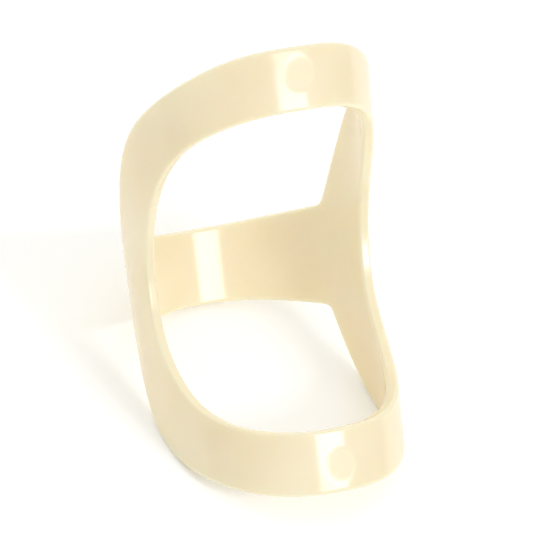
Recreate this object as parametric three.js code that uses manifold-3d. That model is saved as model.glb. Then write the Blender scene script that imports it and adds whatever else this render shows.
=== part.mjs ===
// Finger splint: one moulded shell that keeps a finger joint from bending too far back.
//
// Two end bands cross the front of the finger, a middle band crosses its back, and a rail down
// each side joins all three, so that the shell holds the finger at three places.
//
// The wall is drawn flat first, as a sheet cut out along smooth edges. Its first axis runs around
// the finger from the middle of the front, and its second axis runs along the finger from the
// middle of the splint. The sheet is then wrapped around the oval that the finger fills.

import * as THREE from 'three';
import { mergeVertices } from 'three/addons/utils/BufferGeometryUtils.js';
import Module from 'manifold-3d';

// Driving dimensions, in millimetres
const splintLength = 38.6; // along the finger, over both end bands
const middleWidth = 22.3; // the oval at mid length, side to side between the middles of the wall
const middleDepth = 19.4; // the oval at mid length, front to back
const upperEndWidth = 23.6;
const upperEndDepth = 19.7;
const lowerEndWidth = 21.9;
const lowerEndDepth = 18.5;
const wallThickness = 1.1;
const rimRadius = 0.3; // of the two round corners of every rim
const endBandWidth = 5.5; // along the finger, at the middle of the front
const middleBandWidth = 6.7; // along the finger, at the middle of the back
const cutOutArc = 24.2; // across each back cut-out, around the wall beside the middle band
const railWidth = 4.6; // around the wall, from the window to a corner of a cut-out
const upperCornerRise = 0.85; // how far the middle band's edge climbs to the corner with a rail
const lowerCornerDrop = 1.35; // how far its other edge falls to its corner with a rail
const markDiameter = 2.9; // the round mould mark on the front of each end band
const markDepth = 0.1;
const markInset = 2.3; // from the end of the splint to the middle of a mark

// How finely the solid is faceted
const bandSteps = 26; // along a band, from the middle of the front to a rail
const backSteps = 12; // from a rail to the middle of the back
const rimSteps = 4; // over half a rim, from the middle of its narrow face to the flat of the wall
const acrossSteps = 2; // across a band, from each edge to its middle
const markSides = 48;

// Corners of the shell's outer edge, from the middle of the front, over the side and down a rail.
// Columns: share of the way round to the cut-out's corner, share of the half length.
const upperShoulderShares = [
  [0, 1],
  [0.3, 0.995],
  [0.68, 0.795],
  [0.85, 0.59],
];
const lowerShoulderShares = [
  [0, 1],
  [0.3, 1],
  [0.71, 0.825],
  [0.905, 0.565],
];

// Corners of the window's edge, from the middle of an end band round one side to mid length.
// Columns: share of half the window's arc, share of the window's half height.
const upperWindowShares = [
  [0, 1],
  [0.33, 0.99],
  [0.73, 0.83],
  [0.945, 0.395],
];
const lowerWindowShares = [
  [0, 1],
  [0.33, 0.99],
  [0.75, 0.84],
  [0.98, 0.385],
];

const bandTurn = 0.67; // share of the way from a corner to the back where the band runs straight

const halfLength = splintLength / 2;
const halfBand = middleBandWidth / 2;
const halfWall = wallThickness / 2;
const oval = new THREE.EllipseCurve(0, 0, middleWidth / 2, middleDepth / 2, -Math.PI / 2, Math.PI / 2);
oval.arcLengthDivisions = 2000;
const halfGirth = oval.getLength();
const cornerPlace = halfGirth - cutOutArc / 2;
const windowReach = cornerPlace - railWidth;
const windowHeight = halfLength - endBandWidth;

// A size of the oval at a height, on the smooth curve through its sizes at both ends and the middle.
function sizeAt(along, upper, middle, lower) {
  const rise = along / halfLength;
  return middle + ((upper - lower) / 2) * rise + ((upper + lower) / 2 - middle) * rise ** 2;
}

// Wraps a place on the flat sheet around the oval. The last number is how far outside the middle
// of the wall the point lies.
function wrapped(place, outside) {
  const width = sizeAt(place.y, upperEndWidth, middleWidth, lowerEndWidth);
  const depth = sizeAt(place.y, upperEndDepth, middleDepth, lowerEndDepth);
  const onOval = oval.getPointAt(THREE.MathUtils.clamp(place.x / halfGirth, 0, 1));
  const x = (onOval.x * width) / middleWidth;
  const y = (onOval.y * depth) / middleDepth;
  const normal = new THREE.Vector3(x / width ** 2, y / depth ** 2, 0).normalize();
  return new THREE.Vector3(x, y, place.y).addScaledVector(normal, outside);
}

// A smooth edge on the flat sheet: a cubic B-spline over a few corners, mirrored past both of its
// ends so that the splint's two halves meet without a kink.
class Edge extends THREE.Curve {
  constructor(corners) {
    super();
    const beyond = (end, next) => new THREE.Vector2(2 * end.x - next.x, next.y);
    this.corners = [beyond(corners[0], corners[1]), ...corners, beyond(corners.at(-1), corners.at(-2))];
    this.arcLengthDivisions = 400;
  }

  blend(t, weightsAt) {
    const spans = this.corners.length - 3;
    const span = Math.min(Math.floor(t * spans), spans - 1);
    const blended = new THREE.Vector2();
    weightsAt(t * spans - span).forEach((weight, i) => {
      blended.addScaledVector(this.corners[span + i], weight);
    });
    return blended;
  }

  getPoint(t) {
    return this.blend(t, (w) => [
      (1 - w) ** 3 / 6,
      (3 * w ** 3 - 6 * w ** 2 + 4) / 6,
      (-3 * w ** 3 + 3 * w ** 2 + 3 * w + 1) / 6,
      w ** 3 / 6,
    ]);
  }

  getTangent(t) {
    return this.blend(t, (w) => [
      -((1 - w) ** 2) / 2,
      (3 * w ** 2 - 4 * w) / 2,
      (-3 * w ** 2 + 2 * w + 1) / 2,
      w ** 2 / 2,
    ]).normalize();
  }

  // How far along the edge, from 0 to 1, it comes nearest to a corner.
  nearestTo(corner) {
    const shares = Array.from({ length: 401 }, (_, i) => i / 400);
    const distance = (share) => this.getPointAt(share).distanceTo(corner);
    return shares.reduce((best, share) => (distance(share) < distance(best) ? share : best));
  }
}

// Places on the sheet from a table of shares of a reach around it and a height along it.
function placesFrom(table, reach, height) {
  return table.map(([around, along]) => new THREE.Vector2(around * reach, along * height));
}

// The outer edge above or below the middle band: over the shoulder, down the rail to its corner,
// and along the band to the middle of the back.
function outerEdge(shoulder, corner, bandEdge) {
  const straight = cornerPlace + bandTurn * (halfGirth - cornerPlace);
  return new Edge([
    ...shoulder,
    corner,
    corner,
    new THREE.Vector2(straight, bandEdge),
    new THREE.Vector2(halfGirth, bandEdge),
  ]);
}

// A row is a list of places on the sheet, each with half the wall's thickness there.
const fullWall = (place) => ({ place, half: halfWall });

// The section of half a rim, from the middle of its narrow face round a corner to the flat of the
// wall, as places with how far each lies in from the edge and half the wall's thickness there.
const rimCorner = Array.from({ length: rimSteps }, (_, row) => {
  const turn = (row / (rimSteps - 1)) * (Math.PI / 2);
  return {
    inset: rimRadius * (1 - Math.cos(turn)),
    half: halfWall - rimRadius * (1 - Math.sin(turn)),
  };
});
const rimSection = [{ inset: 0, half: 0 }, ...rimCorner];

// Rows along a stretch of an edge, one for each place of the rim's section. The wall lies to the
// left of the edge with a side of 1, and to its right with -1.
function rimRows(edge, from, to, steps, wallSide) {
  return rimSection.map(({ inset, half }) =>
    Array.from({ length: steps + 1 }, (_, i) => {
      const share = THREE.MathUtils.lerp(from, to, i / steps);
      const tangent = edge.getTangentAt(share);
      const inward = new THREE.Vector2(-tangent.y, tangent.x);
      return { place: edge.getPointAt(share).addScaledVector(inward, inset * wallSide), half };
    }),
  );
}

// A row that runs straight from a place to a second and on to a third.
function throughThree(from, through, to) {
  const leg = (a, b) =>
    Array.from({ length: acrossSteps }, (_, i) => fullWall(a.clone().lerp(b, i / acrossSteps)));
  return [...leg(from, through), ...leg(through, to), fullWall(to)];
}

function straightAcross(from, to) {
  return throughThree(from, from.clone().lerp(to, 0.5), to);
}

// Fills the sheet between four rows that meet at their ends, as rows from the lower to the upper.
function filled(lower, upper, start, end) {
  const between = (a, b, share) => a.place.clone().lerp(b.place, share);
  return start.map((_, j) => {
    const up = j / (start.length - 1);
    const startCorner = between(lower[0], upper[0], up);
    const endCorner = between(lower.at(-1), upper.at(-1), up);
    return lower.map((_unused, i) => {
      const on = i / (lower.length - 1);
      const place = between(lower[i], upper[i], up)
        .add(between(start[j], end[j], on))
        .sub(startCorner.clone().lerp(endCorner, on));
      return fullWall(place);
    });
  });
}

// Adds both faces of the wall between neighbouring rows, on the right half of the splint and
// mirrored on its left half. Each next row lies to the left of the one before.
function addFaces(rows, corners) {
  const addTriangle = (face, ...places) => {
    const points = places.map(({ place, half }) => wrapped(place, face * half));
    const outward = face > 0 ? points : points.reverse();
    const mirrored = outward.map((p) => new THREE.Vector3(-p.x, p.y, p.z)).reverse();
    corners.push(...outward, ...mirrored);
  };
  for (let j = 0; j + 1 < rows.length; j++) {
    for (let i = 0; i + 1 < rows[j].length; i++) {
      const [a, b] = [rows[j][i], rows[j][i + 1]];
      const [c, d] = [rows[j + 1][i + 1], rows[j + 1][i]];
      for (const face of [1, -1]) {
        addTriangle(face, a, b, c);
        addTriangle(face, a, c, d);
      }
    }
  }
}

// The whole wall: the rims of its edges, then the two end bands, and the middle band with
// the backs of the rails. The three meet in the middle of each rail.
function shellGeometry() {
  const upperCorner = new THREE.Vector2(cornerPlace, halfBand + upperCornerRise);
  const lowerCorner = new THREE.Vector2(cornerPlace, -halfBand - lowerCornerDrop);
  const upperPlaces = placesFrom(upperShoulderShares, cornerPlace, halfLength);
  const lowerPlaces = placesFrom(lowerShoulderShares, cornerPlace, -halfLength);
  const upper = outerEdge(upperPlaces, upperCorner, halfBand);
  const lower = outerEdge(lowerPlaces, lowerCorner, -halfBand);
  const window = new Edge([
    ...placesFrom(upperWindowShares, windowReach, windowHeight),
    new THREE.Vector2(windowReach, 0),
    ...placesFrom(lowerWindowShares, windowReach, -windowHeight).reverse(),
  ]);
  const upperTurn = upper.nearestTo(upperCorner);
  const lowerTurn = lower.nearestTo(lowerCorner);
  const windowTurn = window.nearestTo(new THREE.Vector2(windowReach, 0));

  const overTop = rimRows(upper, 0, upperTurn, bandSteps, -1);
  const overBand = rimRows(upper, upperTurn, 1, backSteps, -1);
  const underFoot = rimRows(lower, 0, lowerTurn, bandSteps, 1);
  const underBand = rimRows(lower, lowerTurn, 1, backSteps, 1);
  const windowTop = rimRows(window, 0, windowTurn, bandSteps, 1);
  const windowFoot = rimRows(window, windowTurn, 1, bandSteps, 1);
  const corners = [];
  for (const rim of [overTop, overBand]) addFaces(rim.toReversed(), corners);
  for (const rim of [underFoot, underBand, windowTop, windowFoot]) addFaces(rim, corners);

  const [top, bandTop, foot, bandFoot, sill] = [overTop, overBand, underFoot, underBand, windowTop].map(
    (rim) => rim.at(-1),
  );
  const footSill = windowFoot.at(-1).toReversed();
  const [railTop, railFoot, railFront] = [top, foot, sill].map((row) => row.at(-1).place);
  const railMiddle = railTop.clone().add(railFoot).add(railFront).divideScalar(3);
  const topMiddle = straightAcross(sill[0].place, top[0].place);
  const footMiddle = straightAcross(foot[0].place, footSill[0].place);
  const backMiddle = straightAcross(bandFoot.at(-1).place, bandTop.at(-1).place);
  const topEnd = throughThree(railFront, railMiddle, railTop);
  const footEnd = throughThree(railFoot, railMiddle, railFront);
  const backStart = throughThree(railFoot, railMiddle, railTop);
  addFaces(filled(sill, top, topMiddle, topEnd), corners);
  addFaces(filled(foot, footSill, footMiddle, footEnd), corners);
  addFaces(filled(bandFoot, bandTop, backStart, backMiddle), corners);
  return new THREE.BufferGeometry().setFromPoints(corners);
}

const wasm = await Module();
wasm.setup();

function solidOf(geometry) {
  const bare = geometry.clone();
  bare.deleteAttribute('normal');
  bare.deleteAttribute('uv');
  const merged = mergeVertices(bare);
  const mesh = new wasm.Mesh({
    numProp: 3,
    vertProperties: merged.getAttribute('position').array,
    triVerts: Uint32Array.from(merged.index.array),
  });
  return new wasm.Manifold(mesh);
}

function geometryOf(solid) {
  const mesh = solid.getMesh();
  const geometry = new THREE.BufferGeometry();
  geometry.setAttribute('position', new THREE.BufferAttribute(mesh.vertProperties, 3));
  geometry.setIndex(new THREE.BufferAttribute(mesh.triVerts, 1));
  geometry.computeVertexNormals();
  return geometry;
}

// The space of a mould mark: a shallow round recess with a flat floor in the front of an end band.
function markSpace(along) {
  const front = wrapped(new THREE.Vector2(0, along), halfWall);
  const reach = 2 * wallThickness;
  const space = new THREE.CylinderGeometry(markDiameter / 2, markDiameter / 2, reach, markSides);
  return space.translate(0, front.y + markDepth - reach / 2, along);
}

// How far the splint leans back when it rests on its lower end band and its middle band. With
// less lean its lowest point is in front of its middle, and with more it is behind.
function restingLean(geometry) {
  const position = geometry.getAttribute('position');
  const points = Array.from({ length: position.count }, (_, i) =>
    new THREE.Vector3().fromBufferAttribute(position, i),
  );
  let least = 0;
  let most = Math.PI / 2;
  for (let step = 0; step < 40; step++) {
    const lean = (least + most) / 2;
    const height = (p) => p.z * Math.cos(lean) - p.y * Math.sin(lean);
    const lowest = points.reduce((a, b) => (height(b) < height(a) ? b : a));
    if (lowest.y * Math.cos(lean) + lowest.z * Math.sin(lean) < 0) least = lean;
    else most = lean;
  }
  return least;
}

const creamPlastic = new THREE.MeshStandardMaterial({ color: 0xf3e6c6, roughness: 0.25, metalness: 0 });

const markHeight = halfLength - markInset;
const marked = solidOf(shellGeometry())
  .subtract(solidOf(markSpace(markHeight)))
  .subtract(solidOf(markSpace(-markHeight)));
const splint = new THREE.Mesh(geometryOf(marked), creamPlastic);
splint.name = 'splint_shell';
splint.rotation.x = -restingLean(splint.geometry);

// The origin is on the surface that the splint rests on, under the middle of its box
const box = new THREE.Box3().setFromObject(splint, true);
splint.position.set(0, -(box.min.y + box.max.y) / 2, -box.min.z);

const model = new THREE.Group();
model.add(splint);

export default model;
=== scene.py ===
# Dresses the finger splint: the moulded shell in fine detail, its cream plastic, and a pale studio
# with the camera at the photograph's angle.

import math

import bmesh
import bpy
import numpy as np
from bpy.props import FloatProperty, FloatVectorProperty, PointerProperty
from mathutils import Matrix, Vector


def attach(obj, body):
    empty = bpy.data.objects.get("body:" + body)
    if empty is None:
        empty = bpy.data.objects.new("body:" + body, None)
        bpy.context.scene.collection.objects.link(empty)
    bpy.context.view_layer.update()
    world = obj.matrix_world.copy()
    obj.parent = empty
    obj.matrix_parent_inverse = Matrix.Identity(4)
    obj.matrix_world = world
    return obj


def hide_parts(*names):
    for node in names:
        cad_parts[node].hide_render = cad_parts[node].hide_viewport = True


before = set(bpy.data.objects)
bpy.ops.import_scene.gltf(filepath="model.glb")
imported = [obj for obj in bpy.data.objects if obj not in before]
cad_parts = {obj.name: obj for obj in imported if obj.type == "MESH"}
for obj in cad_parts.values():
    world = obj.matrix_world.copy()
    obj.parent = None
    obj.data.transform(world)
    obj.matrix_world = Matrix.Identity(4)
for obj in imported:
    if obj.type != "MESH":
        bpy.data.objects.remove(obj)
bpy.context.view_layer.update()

bl_info = {
    "name": "Finger Splint",
    "version": (1, 0, 0),
    "blender": (4, 5, 0),
    "location": "3D View > Sidebar > Splint",
    "description": "Builds a one-piece moulded finger splint and the studio that it is shown in",
    "category": "Add Mesh",
}

MM = 0.001

# Places on the flat sheet's edges, as shares, the same as the part's source has them.
# Columns: share of the way round, share of the way along.
UPPER_SHOULDER = ((0, 1), (0.3, 0.995), (0.68, 0.795), (0.85, 0.59))
LOWER_SHOULDER = ((0, 1), (0.3, 1), (0.71, 0.825), (0.905, 0.565))
UPPER_WINDOW = ((0, 1), (0.33, 0.99), (0.73, 0.83), (0.945, 0.395))
LOWER_WINDOW = ((0, 1), (0.33, 0.99), (0.75, 0.84), (0.98, 0.385))
BAND_TURN = 0.67  # share of the way from a corner to the back where the band runs straight

# How finely the shell is meshed
BAND_STEPS = 120  # from the middle of the front to a rail
BACK_STEPS = 54  # from a rail to the middle of the back
RIM_STEPS = 11  # over half a rim, from the middle of its narrow face to the flat of the wall
RIM_LEAD = 0.04 * MM  # narrow rows on both sides of a rim's round corner, which keep the flats flat
LEG_STEPS = 16  # from each edge of a rail to its middle
MARK_STEPS = 13  # from the middle of a mould mark to the square that frames it
MARK_FLOOR_STEPS = 5  # of those, over the mark's flat floor
MARK_EDGE_STEPS = 10  # of those, to the outside of the mark's soft edge
EDGE_SAMPLES = 4000
OVAL_SIDES = 2880

GLOW_REACHES = (1.0, 0.8, 0.5)  # of red, green and blue light in the plastic, as shares of the reach
GLOSS_DRIFT = (-0.02, 0.03)  # how far the roughness drifts with the clouds in the colour
WALL_GRAIN = 0.12  # the grain's height on the polished wall, as a share of its height on a mark

# Rows are the powers of the way along a span, columns the weights of the four corners around it
SPLINE = np.array([[1, 4, 1, 0], [-3, 0, 3, 0], [3, -6, 3, 0], [-1, 3, -3, 1]]) / 6


def linear(hex_colour):
    """Turns an sRGB hex colour into the linear red, green and blue that Blender works in."""
    channels = (int(hex_colour[place : place + 2], 16) / 255 for place in (0, 2, 4))
    return tuple(c / 12.92 if c <= 0.04045 else ((c + 0.055) / 1.055) ** 2.4 for c in channels)


class SplintSizes(bpy.types.PropertyGroup):
    """The splint's real sizes, the same as in the CAD part"""

    length: FloatProperty(
        name="Length",
        description="Along the finger, over both end bands",
        default=38.6 * MM,
        unit="LENGTH",
    )
    upper_oval: FloatVectorProperty(
        name="Upper Oval",
        description="Width and depth of the oval at the upper end, between the middles of the wall",
        default=(23.6 * MM, 19.7 * MM),
        size=2,
        unit="LENGTH",
    )
    middle_oval: FloatVectorProperty(
        name="Middle Oval",
        description="Width and depth of the oval at mid length",
        default=(22.3 * MM, 19.4 * MM),
        size=2,
        unit="LENGTH",
    )
    lower_oval: FloatVectorProperty(
        name="Lower Oval",
        description="Width and depth of the oval at the lower end",
        default=(21.9 * MM, 18.5 * MM),
        size=2,
        unit="LENGTH",
    )
    wall: FloatProperty(
        name="Wall",
        description="Thickness of the wall",
        default=1.1 * MM,
        unit="LENGTH",
    )
    rim_radius: FloatProperty(
        name="Rim Radius",
        description="Radius of the two round corners of every rim",
        default=0.3 * MM,
        unit="LENGTH",
    )
    end_band: FloatProperty(
        name="End Band",
        description="Width of each end band at the middle of the front",
        default=5.5 * MM,
        unit="LENGTH",
    )
    middle_band: FloatProperty(
        name="Middle Band",
        description="Width of the middle band at the middle of the back",
        default=6.7 * MM,
        unit="LENGTH",
    )
    cut_out: FloatProperty(
        name="Back Cut-out",
        description="Around the wall, across each back cut-out beside the middle band",
        default=24.2 * MM,
        unit="LENGTH",
    )
    rail: FloatProperty(
        name="Rail",
        description="Around the wall, from the window to a corner of a cut-out",
        default=4.6 * MM,
        unit="LENGTH",
    )
    corner_rise: FloatProperty(
        name="Upper Corner Rise",
        description="How far the middle band's edge climbs to the corner with a rail",
        default=0.85 * MM,
        unit="LENGTH",
    )
    corner_drop: FloatProperty(
        name="Lower Corner Drop",
        description="How far the middle band's other edge falls to its corner with a rail",
        default=1.35 * MM,
        unit="LENGTH",
    )
    mark_diameter: FloatProperty(
        name="Mould Mark",
        description="Diameter of the round mould mark on the front of each end band",
        default=3.5 * MM,
        unit="LENGTH",
    )
    mark_depth: FloatProperty(
        name="Mark Depth",
        description="How deep a mould mark is pressed in",
        default=0.03 * MM,
        unit="LENGTH",
    )
    mark_edge: FloatProperty(
        name="Mark Edge",
        description="Width of the soft step around a mould mark",
        default=0.8 * MM,
        unit="LENGTH",
    )
    mark_inset: FloatProperty(
        name="Mark Inset",
        description="From the end of the splint to the middle of a mark",
        default=2.3 * MM,
        unit="LENGTH",
    )


class SplintFinish(bpy.types.PropertyGroup):
    """The look of the cream plastic"""

    cream: FloatVectorProperty(
        name="Cream",
        description="Main colour of the plastic",
        default=linear("F3E9CE"),
        subtype="COLOR",
    )
    deep_cream: FloatVectorProperty(
        name="Deep Cream",
        description="Colour of the slightly denser clouds where the melt flowed slower",
        default=linear("F0E4C5"),
        subtype="COLOR",
    )
    cloud_size: FloatProperty(
        name="Cloud Size",
        description="Width of one cloud in the colour",
        default=7 * MM,
        unit="LENGTH",
    )
    ripple_size: FloatProperty(
        name="Ripple Size",
        description="Width of one low ripple that the mould leaves in the gloss",
        default=4.5 * MM,
        unit="LENGTH",
    )
    ripple_height: FloatProperty(
        name="Ripple Height",
        description="Height of those ripples",
        default=0.006 * MM,
        unit="LENGTH",
    )
    grain_size: FloatProperty(
        name="Grain Size",
        description="Width of one grain of the polished steel, as it shows in the plastic",
        default=0.25 * MM,
        unit="LENGTH",
    )
    grain_height: FloatProperty(
        name="Grain Height",
        description="Height of that grain on a mould mark",
        default=0.004 * MM,
        unit="LENGTH",
    )
    glow: FloatProperty(
        name="Glow",
        description="Share of the light that goes into the plastic and comes out beside where it went in",
        default=0.7,
        subtype="FACTOR",
    )
    glow_reach: FloatProperty(
        name="Glow Reach",
        description="How far red light spreads inside the plastic",
        default=1.2 * MM,
        unit="LENGTH",
    )
    gloss_roughness: FloatProperty(
        name="Roughness",
        description="Roughness of the polished wall",
        default=0.14,
        subtype="FACTOR",
    )
    mark_roughness: FloatProperty(
        name="Mark Roughness",
        description="Roughness of the mould marks' duller floors",
        default=0.42,
        subtype="FACTOR",
    )


class SplintStage(bpy.types.PropertyGroup):
    """The pale floor, the soft lights and the camera"""

    floor_colour: FloatVectorProperty(
        name="Floor",
        description="Colour of the floor",
        default=linear("F8F8F6"),
        subtype="COLOR",
    )
    floor_reach: FloatProperty(
        name="Floor Reach",
        description="From the splint to each side of the floor",
        default=2000 * MM,
        unit="LENGTH",
    )
    floor_roughness: FloatProperty(
        name="Floor Roughness",
        description="Roughness of the floor's matt card",
        default=0.7,
        subtype="FACTOR",
    )
    floor_glow: FloatProperty(
        name="Floor Glow",
        description="Light that the floor itself sends up, as a lit white table does",
        default=0.13,
    )
    room: FloatProperty(
        name="Room",
        description="Brightness of the whole white room around the floor",
        default=0.07,
    )
    room_back: FloatProperty(
        name="Room Back",
        description="How much brighter the room is behind the splint",
        default=0.92,
    )
    room_front: FloatProperty(
        name="Room Front",
        description="How much brighter the room is in front of the splint",
        default=0.32,
    )
    room_top: FloatProperty(
        name="Room Top",
        description="How much brighter the room is overhead",
        default=0.87,
    )
    camera_azimuth: FloatProperty(
        name="Camera Azimuth",
        description="Around the splint's own long axis, from straight in front of the window",
        default=math.radians(-32.84),
        subtype="ANGLE",
    )
    camera_elevation: FloatProperty(
        name="Camera Elevation",
        description="Above a plane square to the splint's own long axis",
        default=math.radians(5.1),
        subtype="ANGLE",
    )
    camera_roll: FloatProperty(
        name="Camera Roll",
        description="How far the splint's long axis leans to the right in the picture",
        default=math.radians(-6.62),
        subtype="ANGLE",
    )
    camera_distance: FloatProperty(
        name="Camera Distance",
        description="From the middle of the splint",
        default=586 * MM,
        unit="LENGTH",
    )
    picture_width: FloatProperty(
        name="Picture Width",
        description="Width of the picture at the middle of the splint",
        default=551 / 11.5 * MM,
        unit="LENGTH",
    )
    picture_offset: FloatVectorProperty(
        name="Picture Offset",
        description="From the middle of the splint to the middle of the picture, right and up",
        default=(1.61 * MM, -0.63 * MM),
        size=2,
        unit="LENGTH",
    )


def add_node(tree, kind, inputs=None, **settings):
    """Adds a node, and fills its inputs with values or with outputs of other nodes."""
    node = tree.nodes.new(kind)
    for name, value in settings.items():
        setattr(node, name, value)
    for socket, value in (inputs or {}).items():
        if isinstance(value, bpy.types.NodeSocket):
            tree.links.new(value, node.inputs[socket])
        else:
            node.inputs[socket].default_value = value
    return node


class Edge:
    """A smooth edge on the flat sheet, the same cubic B-spline as in the part's source.

    It is mirrored past both of its ends, so that the splint's two halves meet without a kink."""

    def __init__(self, corners):
        before = (2 * corners[0][0] - corners[1][0], corners[1][1])
        after = (2 * corners[-1][0] - corners[-2][0], corners[-2][1])
        self.corners = np.array([before, *corners, after])
        self.turns = np.linspace(0, len(self.corners) - 3, EDGE_SAMPLES)
        self.points = self.blend(self.turns, lambda w: (w**0, w, w**2, w**3))
        steps = np.linalg.norm(np.diff(self.points, axis=0), axis=1)
        self.travel = np.concatenate([[0], np.cumsum(steps)])
        self.length = self.travel[-1]

    def blend(self, turns, powers):
        span = np.minimum(turns.astype(int), len(self.corners) - 4)
        weights = np.stack(powers(turns - span), axis=-1) @ SPLINE
        return sum(weights[:, i, None] * self.corners[span + i] for i in range(4))

    def at(self, distances):
        """Points at distances along the edge, and the directions to the left of it there."""
        turns = np.interp(distances, self.travel, self.turns)
        points = self.blend(turns, lambda w: (w**0, w, w**2, w**3))
        slopes = self.blend(turns, lambda w: (0 * w, w**0, 2 * w, 3 * w**2))
        slopes /= np.linalg.norm(slopes, axis=1, keepdims=True)
        return points, np.stack([-slopes[:, 1], slopes[:, 0]], axis=-1)

    def nearest_to(self, corner):
        return self.travel[np.argmin(np.linalg.norm(self.points - corner, axis=1))]


def places(shares, reach, height):
    return [(around * reach, along * height) for around, along in shares]


def rim(edge, distances, side, sizes):
    """Rows across half a rim, from the middle of its narrow face to the flat of the wall.

    Each place has its two axes on the sheet, and then half the wall's thickness there. The wall
    lies to the left of the edge with a side of 1, and to its right with -1."""
    turn = np.linspace(0, math.pi / 2, RIM_STEPS - 2)
    points, leftward = edge.at(distances)
    inset = sizes.rim_radius * (1 - np.cos(turn))
    half = sizes.wall / 2 - sizes.rim_radius * (1 - np.sin(turn))
    inset = np.array([0, 0, *inset, inset[-1] + RIM_LEAD])
    half = np.array([0, half[0] - RIM_LEAD, *half, half[-1]])
    flat = points[:, None, :] + side * leftward[:, None, :] * inset[None, :, None]
    return np.concatenate([flat, np.broadcast_to(half[:, None], (*flat.shape[:2], 1))], axis=-1)


def strip(near, far, start_shares, rail_end, rail_middle):
    """A stretch of wall between two rims, with the rows that cross it bent to meet at the rail's middle.

    The rail lies at the last column with a rail end of -1, and at the first with 0."""
    a, b = near[:, -1], far[:, -1]
    legs = np.linspace(0, 1, LEG_STEPS + 1)[:, None]
    corner_a, corner_b = a[rail_end], b[rail_end]
    to_middle = corner_a + (rail_middle - corner_a) * legs
    from_middle = rail_middle + (corner_b - rail_middle) * legs[1:]
    bent = np.concatenate([to_middle, from_middle])
    even = np.linspace(0, 1, 2 * LEG_STEPS + 1)
    pull = bent - (corner_a + (corner_b - corner_a) * even[:, None])
    nearness = np.linspace(0, 1, len(a)) if rail_end == -1 else np.linspace(1, 0, len(a))
    shares = start_shares + (even - start_shares) * nearness[:, None]
    wall = a[:, None] + (b - a)[:, None] * shares[..., None]
    wall += pull[None] * (nearness**3)[:, None, None]
    return np.concatenate([near[:, :-1], wall, far[:, ::-1][:, 1:]], axis=1)


def ring_round_mark(grid, middle, frame_size, radius, edge):
    """Bends the grid around a mould mark, so that its lines run round the mark in rings."""
    ringed = grid.copy()
    row = grid.shape[1] - 1 - RIM_STEPS - MARK_STEPS
    outward = math.copysign(1, middle)
    rings = (0, MARK_FLOOR_STEPS, MARK_EDGE_STEPS, MARK_STEPS)
    reaches = (0, radius - edge, radius, frame_size)
    for i in range(MARK_STEPS + 1):
        for j in range(-MARK_STEPS, MARK_STEPS + 1):
            ring = max(i, abs(j))
            if i >= abs(j):
                angle = math.pi / 4 * j / max(i, 1)
            else:
                angle = math.copysign(math.pi / 2 - math.pi / 4 * i / abs(j), j)
            reach = np.interp(ring, rings, reaches)
            round_place = np.array([reach * math.cos(angle), middle + outward * reach * math.sin(angle)])
            squareness = max(0, (ring - MARK_EDGE_STEPS) / (MARK_STEPS - MARK_EDGE_STEPS)) ** 2
            square_place = grid[i, row + j, :2]
            ringed[i, row + j, :2] = round_place + (square_place - round_place) * squareness
    return ringed


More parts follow.
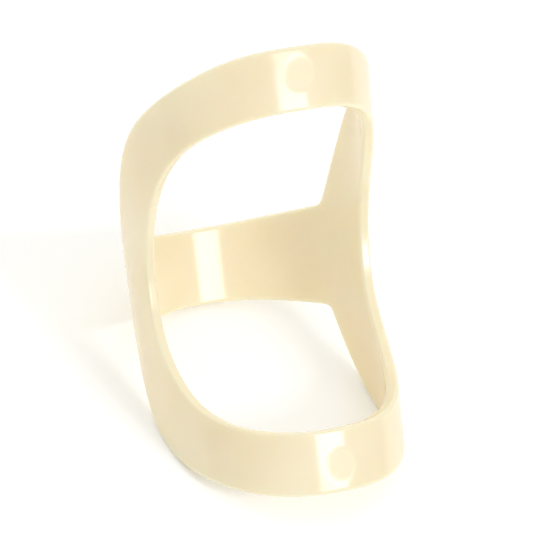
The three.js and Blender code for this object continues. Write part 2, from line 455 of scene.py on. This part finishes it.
def flat_half(sizes):
    """The right half of the shell as a flat sheet: around the finger, along it, and out of the wall."""
    half_length = sizes.length / 2
    half_band = sizes.middle_band / 2
    width, depth = sizes.middle_oval
    quarter = np.linspace(0, math.pi, OVAL_SIDES)
    oval = np.stack([width / 2 * np.sin(quarter), -depth / 2 * np.cos(quarter)], axis=-1)
    half_girth = np.linalg.norm(np.diff(oval, axis=0), axis=1).sum()
    corner_place = half_girth - sizes.cut_out / 2
    window_reach = corner_place - sizes.rail
    window_height = half_length - sizes.end_band
    straight = corner_place + BAND_TURN * (half_girth - corner_place)

    upper_corner = (corner_place, half_band + sizes.corner_rise)
    lower_corner = (corner_place, -half_band - sizes.corner_drop)
    upper_places = places(UPPER_SHOULDER, corner_place, half_length)
    lower_places = places(LOWER_SHOULDER, corner_place, -half_length)
    upper_back = [(straight, half_band), (half_girth, half_band)]
    lower_back = [(straight, -half_band), (half_girth, -half_band)]
    upper = Edge([*upper_places, upper_corner, upper_corner, *upper_back])
    lower = Edge([*lower_places, lower_corner, lower_corner, *lower_back])
    window_top = places(UPPER_WINDOW, window_reach, window_height)
    window_foot = places(LOWER_WINDOW, window_reach, -window_height)
    window = Edge([*window_top, (window_reach, 0), *window_foot[::-1]])

    upper_turn, lower_turn = upper.nearest_to(upper_corner), lower.nearest_to(lower_corner)
    window_turn = window.nearest_to((window_reach, 0))
    rim_reach = sizes.rim_radius + RIM_LEAD
    mark_frame = sizes.mark_inset - rim_reach
    near_mark = np.linspace(0, mark_frame, MARK_STEPS + 1)

    def spaced(length):
        return np.concatenate([near_mark, np.linspace(mark_frame, length, BAND_STEPS - MARK_STEPS + 1)[1:]])

    over_top = rim(upper, spaced(upper_turn), -1, sizes)
    under_foot = rim(lower, spaced(lower_turn), 1, sizes)
    top_sill = rim(window, spaced(window_turn), 1, sizes)
    foot_sill = rim(window, window.length - spaced(window.length - window_turn), 1, sizes)
    over_band = rim(upper, np.linspace(upper_turn, upper.length, BACK_STEPS + 1), -1, sizes)
    under_band = rim(lower, np.linspace(lower_turn, lower.length, BACK_STEPS + 1), 1, sizes)
    rail_middle = (over_top[-1, -1] + under_foot[-1, -1] + top_sill[-1, -1]) / 3

    band_flat = sizes.end_band - 2 * rim_reach
    plain_steps = 2 * (LEG_STEPS - MARK_STEPS)
    plain = np.linspace(0, 1 - 2 * mark_frame / band_flat, plain_steps + 1)
    framed = np.linspace(plain[-1], 1, 2 * MARK_STEPS + 1)
    end_shares = np.concatenate([plain, framed[1:]])
    even_shares = np.linspace(0, 1, 2 * LEG_STEPS + 1)
    mark_place = half_length - sizes.mark_inset
    sheets = []
    for near, far, middle in ((top_sill, over_top, mark_place), (foot_sill, under_foot, -mark_place)):
        grid = strip(near, far, end_shares, -1, rail_middle)
        ringed = ring_round_mark(grid, middle, mark_frame, sizes.mark_diameter / 2, sizes.mark_edge)
        sheets += [(ringed, 1), (grid, -1)]
    back = strip(under_band, over_band, even_shares, 0, rail_middle)
    sheets += [(back, 1), (back, -1)]
    return mesh_of(sheets)


def mesh_of(sheets):
    """One mesh of grids, each with the side of the wall that it makes: 1 outside, -1 inside."""
    points, faces, first = [], [], 0
    for grid, side in sheets:
        columns, rows = grid.shape[:2]
        points.append((grid * (1, 1, side)).reshape(-1, 3))
        number = first + np.arange(columns * rows).reshape(columns, rows)
        ring = (number[:-1, :-1], number[1:, :-1], number[1:, 1:], number[:-1, 1:])
        faces.append(np.stack(ring, axis=-1).reshape(-1, 4))
        first += columns * rows
    mesh = bpy.data.meshes.new("flat_splint_half")
    mesh.from_pydata(np.concatenate(points).tolist(), [], np.concatenate(faces).tolist())
    return mesh


def wrapping_tree(material):
    """Geometry nodes that wrap the flat half round the oval, press in the marks and mirror it."""
    tree = bpy.data.node_groups.new("wrap_splint_round_finger", "GeometryNodeTree")
    tree.interface.new_socket("Flat Half", in_out="INPUT", socket_type="NodeSocketGeometry")
    for name in ("Upper Oval", "Middle Oval", "Lower Oval"):
        tree.interface.new_socket(name, in_out="INPUT", socket_type="NodeSocketVector")
    for name in ("Half Length", "Mark Place", "Mark Radius", "Mark Edge", "Mark Depth", "Weld"):
        tree.interface.new_socket(name, in_out="INPUT", socket_type="NodeSocketFloat")
    tree.interface.new_socket("Shell", in_out="OUTPUT", socket_type="NodeSocketGeometry")
    given = add_node(tree, "NodeGroupInput").outputs
    flat_place = add_node(tree, "GeometryNodeInputPosition").outputs[0]
    flat = add_node(tree, "ShaderNodeSeparateXYZ", {0: flat_place}).outputs

    # The oval at mid length, as a curve that starts at the middle of the front
    circle = add_node(tree, "GeometryNodeCurvePrimitiveCircle", {"Resolution": OVAL_SIDES, "Radius": 0.5})
    started = add_node(
        tree,
        "GeometryNodeTransform",
        {"Geometry": circle.outputs["Curve"], "Rotation": (0, 0, -math.pi / 2)},
    )
    oval = add_node(
        tree,
        "GeometryNodeTransform",
        {"Geometry": started.outputs[0], "Scale": given["Middle Oval"]},
    )
    on_oval = add_node(
        tree,
        "GeometryNodeSampleCurve",
        {"Curves": oval.outputs[0], "Length": flat[0]},
        mode="LENGTH",
    ).outputs["Position"]

    # Width and depth of the oval at each height: middle + tilt * rise + bend * rise squared
    rise = add_node(
        tree, "ShaderNodeMath", {0: flat[1], 1: given["Half Length"]}, operation="DIVIDE"
    ).outputs[0]
    half_upper = add_node(
        tree, "ShaderNodeVectorMath", {0: given["Upper Oval"], "Scale": 0.5}, operation="SCALE"
    ).outputs[0]
    half_lower = add_node(
        tree, "ShaderNodeVectorMath", {0: given["Lower Oval"], "Scale": 0.5}, operation="SCALE"
    ).outputs[0]
    tilt = add_node(
        tree, "ShaderNodeVectorMath", {0: half_upper, 1: half_lower}, operation="SUBTRACT"
    ).outputs[0]
    ends = add_node(
        tree, "ShaderNodeVectorMath", {0: half_upper, 1: half_lower}, operation="ADD"
    ).outputs[0]
    bend = add_node(
        tree, "ShaderNodeVectorMath", {0: ends, 1: given["Middle Oval"]}, operation="SUBTRACT"
    ).outputs[0]
    slope = add_node(
        tree, "ShaderNodeVectorMath", {0: bend, 1: rise, 2: tilt}, operation="MULTIPLY_ADD"
    ).outputs[0]
    size = add_node(
        tree,
        "ShaderNodeVectorMath",
        {0: slope, 1: rise, 2: given["Middle Oval"]},
        operation="MULTIPLY_ADD",
    ).outputs[0]

    # The middle of the wall at that height, and the oval's normal there
    growth = add_node(
        tree, "ShaderNodeVectorMath", {0: size, 1: given["Middle Oval"]}, operation="DIVIDE"
    ).outputs[0]
    at_height = add_node(tree, "ShaderNodeCombineXYZ", {"Z": flat[1]}).outputs[0]
    wall_middle = add_node(
        tree,
        "ShaderNodeVectorMath",
        {0: on_oval, 1: growth, 2: at_height},
        operation="MULTIPLY_ADD",
    ).outputs[0]
    across = add_node(
        tree, "ShaderNodeVectorMath", {0: on_oval, 1: growth}, operation="MULTIPLY"
    ).outputs[0]
    once = add_node(
        tree, "ShaderNodeVectorMath", {0: across, 1: size}, operation="DIVIDE"
    ).outputs[0]
    twice = add_node(
        tree, "ShaderNodeVectorMath", {0: once, 1: size}, operation="DIVIDE"
    ).outputs[0]
    outward = add_node(tree, "ShaderNodeVectorMath", {0: twice}, operation="NORMALIZE").outputs[0]
    # How far each point of the outer face is pressed in by a mark: 1 on its floor, 0 outside it
    height = add_node(tree, "ShaderNodeMath", {0: flat[1]}, operation="ABSOLUTE").outputs[0]
    from_mark = add_node(
        tree, "ShaderNodeMath", {0: height, 1: given["Mark Place"]}, operation="SUBTRACT"
    ).outputs[0]
    seen_flat = add_node(tree, "ShaderNodeCombineXYZ", {"X": flat[0], "Y": from_mark}).outputs[0]
    reach = add_node(tree, "ShaderNodeVectorMath", {0: seen_flat}, operation="LENGTH").outputs[1]
    floor_reach = add_node(
        tree,
        "ShaderNodeMath",
        {0: given["Mark Radius"], 1: given["Mark Edge"]},
        operation="SUBTRACT",
    ).outputs[0]
    pressed = add_node(
        tree,
        "ShaderNodeMapRange",
        {"Value": reach, 1: floor_reach, 2: given["Mark Radius"], 3: 1.0, 4: 0.0},
        interpolation_type="SMOOTHSTEP",
    ).outputs[0]
    outside = add_node(tree, "ShaderNodeMath", {0: flat[2], 1: 0.0}, operation="GREATER_THAN").outputs[0]
    mark = add_node(
        tree, "ShaderNodeMath", {0: pressed, 1: outside}, operation="MULTIPLY"
    ).outputs[0]

    # Out along the normal by half the wall, less what a mark presses in
    pressed_in = add_node(
        tree, "ShaderNodeMath", {0: mark, 1: given["Mark Depth"]}, operation="MULTIPLY"
    ).outputs[0]
    out = add_node(tree, "ShaderNodeMath", {0: flat[2], 1: pressed_in}, operation="SUBTRACT").outputs[0]
    thickness = add_node(
        tree, "ShaderNodeVectorMath", {0: outward, "Scale": out}, operation="SCALE"
    ).outputs[0]
    final_place = add_node(
        tree, "ShaderNodeVectorMath", {0: wall_middle, 1: thickness}, operation="ADD"
    ).outputs[0]

    marked = add_node(
        tree,
        "GeometryNodeStoreNamedAttribute",
        {"Geometry": given["Flat Half"], "Name": "mark", "Value": mark},
    ).outputs[0]
    right = add_node(
        tree, "GeometryNodeSetPosition", {"Geometry": marked, "Position": final_place}
    ).outputs[0]
    left = add_node(
        tree, "GeometryNodeTransform", {"Geometry": right, "Scale": (-1, 1, 1)}
    ).outputs[0]
    both = add_node(tree, "GeometryNodeJoinGeometry", {0: right})
    tree.links.new(left, both.inputs[0])
    welded = add_node(
        tree,
        "GeometryNodeMergeByDistance",
        {"Geometry": both.outputs[0], "Distance": given["Weld"]},
    ).outputs[0]
    smooth = add_node(tree, "GeometryNodeSetShadeSmooth", {"Geometry": welded}).outputs[0]
    real = add_node(tree, "GeometryNodeRealizeInstances", {"Geometry": smooth}).outputs[0]
    dressed = add_node(
        tree, "GeometryNodeSetMaterial", {"Geometry": real, "Material": material}
    ).outputs[0]
    add_node(tree, "NodeGroupOutput", {"Shell": dressed})
    return tree


def resting_lean(points):
    """How far the splint leans back at rest: its lowest point is then under the middle of its length.

    With less lean the lowest point is in front of there, and with more it is behind."""
    least, most = 0, math.pi / 2
    for _ in range(40):
        lean = (least + most) / 2
        lowest = points[np.argmin(points[:, 2] * math.cos(lean) - points[:, 1] * math.sin(lean))]
        if lowest[1] * math.cos(lean) + lowest[2] * math.sin(lean) < 0:
            least = lean
        else:
            most = lean
    return least


def standing(points):
    """Turns the splint's own frame, with its long axis upright, into the way it rests on the floor."""
    lean = Matrix.Rotation(-resting_lean(points), 4, "X")
    leant = points @ np.array(lean.to_3x3()).T
    low, high = leant.min(axis=0), leant.max(axis=0)
    return Matrix.Translation((0, -(low[1] + high[1]) / 2, -low[2])) @ lean


def moulded_polyolefin(finish):
    """Cream polyolefin, injection moulded in polished steel: glossy and waxy, with a warm glow under it.

    Light goes a little way in, so that shaded corners stay warm. The gloss has low ripples, and
    is duller on the mould marks, where the steel pins were only ground."""
    material = bpy.data.materials.new("moulded_polyolefin_cream")
    material.use_nodes = True
    tree = material.node_tree
    tree.nodes.clear()
    place = add_node(tree, "ShaderNodeTexCoord").outputs["Object"]
    mark = add_node(tree, "ShaderNodeAttribute", attribute_name="mark").outputs["Fac"]

    clouds = add_node(
        tree,
        "ShaderNodeTexNoise",
        {"Vector": place, "Scale": 1 / finish.cloud_size, "Detail": 3.0, "Roughness": 0.45},
    ).outputs["Fac"]
    cloudy = add_node(
        tree, "ShaderNodeMapRange", {"Value": clouds, 1: 0.35, 2: 0.65, 3: 0.0, 4: 1.0}
    ).outputs[0]
    colour = add_node(
        tree,
        "ShaderNodeMix",
        {"Factor": cloudy, 6: (*finish.cream, 1), 7: (*finish.deep_cream, 1)},
        data_type="RGBA",
    ).outputs[2]

    grain = add_node(
        tree,
        "ShaderNodeTexNoise",
        {"Vector": place, "Scale": 1 / finish.grain_size, "Detail": 2.0},
    ).outputs["Fac"]
    uneven = add_node(
        tree, "ShaderNodeMapRange", {"Value": clouds, 1: 0.3, 2: 0.7, 3: GLOSS_DRIFT[0], 4: GLOSS_DRIFT[1]}
    ).outputs[0]
    base_roughness = add_node(
        tree, "ShaderNodeMath", {0: uneven, 1: finish.gloss_roughness}, operation="ADD"
    ).outputs[0]
    roughness = add_node(
        tree, "ShaderNodeMix", {"Factor": mark, 2: base_roughness, 3: finish.mark_roughness}
    ).outputs[0]

    ripples = add_node(
        tree,
        "ShaderNodeTexNoise",
        {"Vector": place, "Scale": 1 / finish.ripple_size, "Detail": 1.0},
    ).outputs["Fac"]
    rippled = add_node(
        tree,
        "ShaderNodeBump",
        {"Strength": 1.0, "Distance": 2 * finish.ripple_height, "Height": ripples},
    ).outputs[0]
    grain_share = add_node(
        tree, "ShaderNodeMapRange", {"Value": mark, 1: 0.0, 2: 1.0, 3: WALL_GRAIN, 4: 1.0}
    ).outputs[0]
    grained = add_node(
        tree,
        "ShaderNodeBump",
        {"Strength": grain_share, "Distance": finish.grain_height, "Height": grain, "Normal": rippled},
    ).outputs[0]

    shader = add_node(
        tree,
        "ShaderNodeBsdfPrincipled",
        {
            "Base Color": colour,
            "Roughness": roughness,
            "IOR": 1.5,
            "Subsurface Weight": finish.glow,
            "Subsurface Radius": GLOW_REACHES,
            "Subsurface Scale": finish.glow_reach,
            "Normal": grained,
        },
    ).outputs[0]
    add_node(tree, "ShaderNodeOutputMaterial", {"Surface": shader})
    return material


def white_room(stage):
    """A white room, dim to the left and right, and smoothly brighter behind, in front and overhead."""
    world = bpy.data.worlds.new("white_room")
    world.use_nodes = True
    tree = world.node_tree
    tree.nodes.clear()
    look = add_node(tree, "ShaderNodeTexCoord").outputs["Generated"]
    opposite = add_node(
        tree, "ShaderNodeVectorMath", {0: look, "Scale": -1.0}, operation="SCALE"
    ).outputs[0]
    lights = []
    for toward, sides in (
        (look, (0, stage.room_back, stage.room_top)),
        (opposite, (0, stage.room_front, 0)),
    ):
        ahead = add_node(
            tree, "ShaderNodeVectorMath", {0: toward, 1: (0, 0, 0)}, operation="MAXIMUM"
        ).outputs[0]
        lights.append(
            add_node(tree, "ShaderNodeVectorMath", {0: ahead, 1: sides}, operation="DOT_PRODUCT").outputs[1]
        )
    both = add_node(tree, "ShaderNodeMath", {0: lights[0], 1: lights[1]}, operation="ADD").outputs[0]
    strength = add_node(tree, "ShaderNodeMath", {0: both, 1: stage.room}, operation="ADD").outputs[0]
    background = add_node(
        tree, "ShaderNodeBackground", {"Color": (1, 1, 1, 1), "Strength": strength}
    ).outputs[0]
    add_node(tree, "ShaderNodeOutputWorld", {"Surface": background})
    return world


class SPLINT_OT_shell(bpy.types.Operator):
    """Moulds the splint's shell, finishes it and lets it replace the CAD solid"""

    bl_idname = "splint.shell"
    bl_label = "Splint Shell"

    def execute(self, context):
        sizes = context.scene.splint_sizes
        material = moulded_polyolefin(context.scene.splint_finish)
        sheet = bpy.data.objects.new("flat_splint_half", flat_half(sizes))
        context.scene.collection.objects.link(sheet)
        tree = wrapping_tree(material)
        wrap = sheet.modifiers.new("wrap", "NODES")
        wrap.node_group = tree
        settings = {
            "Upper Oval": (*sizes.upper_oval, 1),
            "Middle Oval": (*sizes.middle_oval, 1),
            "Lower Oval": (*sizes.lower_oval, 1),
            "Half Length": sizes.length / 2,
            "Mark Place": sizes.length / 2 - sizes.mark_inset,
            "Mark Radius": sizes.mark_diameter / 2,
            "Mark Edge": sizes.mark_edge,
            "Mark Depth": sizes.mark_depth,
            "Weld": 0.002 * MM,
        }
        for item in tree.interface.items_tree:
            if item.name in settings:
                wrap[item.identifier] = settings[item.name]
        depsgraph = context.evaluated_depsgraph_get()
        wrapped = sheet.evaluated_get(depsgraph)
        mesh = bpy.data.meshes.new_from_object(wrapped, preserve_all_data_layers=True, depsgraph=depsgraph)
        bpy.data.objects.remove(sheet)

        points = np.array([v.co for v in mesh.vertices])
        stand = standing(points)
        mesh.transform(stand)
        shell = bmesh.new()
        shell.from_mesh(mesh)
        bmesh.ops.recalc_face_normals(shell, faces=shell.faces)
        if any(not edge.is_manifold for edge in shell.edges):
            raise RuntimeError("the splint's shell isn't closed")
        shell.to_mesh(mesh)
        shell.free()

        piece = bpy.data.objects.new("splint_moulded_shell", mesh)
        context.scene.collection.objects.link(piece)
        context.scene["splint_stand"] = [value for row in stand for value in row]
        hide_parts("splint_shell")
        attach(piece, "root")
        return {"FINISHED"}


# Soft lights, aimed at the middle of the splint. Angles are in its own frame, as the camera's are.
# Columns: name, azimuth and elevation in degrees, distance, width and height in mm, watts.
LIGHTS = (("softbox", 24.5, -7, 600, 235, 108, 0.93),)


class SPLINT_OT_stage(bpy.types.Operator):
    """Lays the floor, hangs the soft lights and sets up the camera"""

    bl_idname = "splint.stage"
    bl_label = "Stage"

    def execute(self, context):
        stage = context.scene.splint_stage
        values = list(context.scene["splint_stand"])
        stand = Matrix([values[row * 4 : row * 4 + 4] for row in range(4)])
        self.lay_floor(context, stage)
        self.light_room(context, stage, stand)
        self.set_camera(context, stage, stand)
        return {"FINISHED"}

    def lay_floor(self, context, stage):
        reach = stage.floor_reach
        corners = [(-reach, -reach, 0), (reach, -reach, 0), (reach, reach, 0), (-reach, reach, 0)]
        mesh = bpy.data.meshes.new("floor")
        mesh.from_pydata(corners, [], [(0, 1, 2, 3)])
        material = bpy.data.materials.new("white_card")
        material.use_nodes = True
        shader = material.node_tree.nodes["Principled BSDF"]
        shader.inputs["Base Color"].default_value = (*stage.floor_colour, 1)
        shader.inputs["Roughness"].default_value = stage.floor_roughness
        shader.inputs["Emission Color"].default_value = (1, 1, 1, 1)
        shader.inputs["Emission Strength"].default_value = stage.floor_glow
        mesh.materials.append(material)
        floor = bpy.data.objects.new("floor", mesh)
        context.scene.collection.objects.link(floor)

    def light_room(self, context, stage, stand):
        context.scene.world = white_room(stage)
        for name, azimuth, elevation, distance, width, height, watts in LIGHTS:
            lamp = bpy.data.lights.new(name, "AREA")
            lamp.shape = "RECTANGLE"
            lamp.size = width * MM
            lamp.size_y = height * MM
            lamp.energy = watts
            back = direction(math.radians(azimuth), math.radians(elevation))
            right = Vector((math.cos(math.radians(azimuth)), math.sin(math.radians(azimuth)), 0))
            light = bpy.data.objects.new(name, lamp)
            light.matrix_world = stand @ facing(right, back, back * distance * MM)
            context.scene.collection.objects.link(light)

    def set_camera(self, context, stage, stand):
        back = direction(stage.camera_azimuth, stage.camera_elevation)
        level = Vector((math.cos(stage.camera_azimuth), math.sin(stage.camera_azimuth), 0))
        right = Matrix.Rotation(stage.camera_roll, 3, back) @ level
        up = back.cross(right)
        aim = right * stage.picture_offset[0] + up * stage.picture_offset[1]
        camera = bpy.data.cameras.new("photo_camera")
        camera.lens = camera.sensor_width * stage.camera_distance / stage.picture_width
        camera.clip_start = 10 * MM
        camera.clip_end = 10.0
        viewer = bpy.data.objects.new("photo_camera", camera)
        viewer.matrix_world = stand @ facing(right, back, aim + back * stage.camera_distance)
        context.scene.collection.objects.link(viewer)
        context.scene.camera = viewer


def direction(azimuth, elevation):
    """From the splint towards a light or the camera, in the splint's own frame."""
    level = math.cos(elevation)
    return Vector((math.sin(azimuth) * level, -math.cos(azimuth) * level, math.sin(elevation)))


def facing(right, back, place):
    """The place and turn of a camera or light that looks along minus back, with right to its right."""
    up = back.cross(right)
    turn = Matrix((right, up, back)).transposed().to_4x4()
    return Matrix.Translation(place) @ turn


class SPLINT_PT_panel(bpy.types.Panel):
    """Lists the splint's steps and their settings"""

    bl_idname = "SPLINT_PT_panel"
    bl_label = "Finger Splint"
    bl_space_type = "VIEW_3D"
    bl_region_type = "UI"
    bl_category = "Splint"

    def draw(self, context):
        for operator, group in STEPS:
            box = self.layout.box()
            box.operator(operator)
            for settings in group:
                owner = getattr(context.scene, settings)
                for name in owner.bl_rna.properties.keys():
                    if name not in ("rna_type", "name"):
                        box.prop(owner, name)


# Columns: operator, the settings that it reads
STEPS = (
    ("splint.shell", ("splint_sizes", "splint_finish")),
    ("splint.stage", ("splint_stage",)),
)
CLASSES = (SplintSizes, SplintFinish, SplintStage, SPLINT_OT_shell, SPLINT_OT_stage, SPLINT_PT_panel)


def register():
    for made in CLASSES:
        bpy.utils.register_class(made)
    bpy.types.Scene.splint_sizes = PointerProperty(type=SplintSizes)
    bpy.types.Scene.splint_finish = PointerProperty(type=SplintFinish)
    bpy.types.Scene.splint_stage = PointerProperty(type=SplintStage)


def unregister():
    del bpy.types.Scene.splint_stage
    del bpy.types.Scene.splint_finish
    del bpy.types.Scene.splint_sizes
    for made in reversed(CLASSES):
        bpy.utils.unregister_class(made)


def main():
    register()
    bpy.context.scene.view_settings.view_transform = "Standard"
    bpy.ops.splint.shell()
    bpy.ops.splint.stage()


if __name__ == "__main__":
    main()
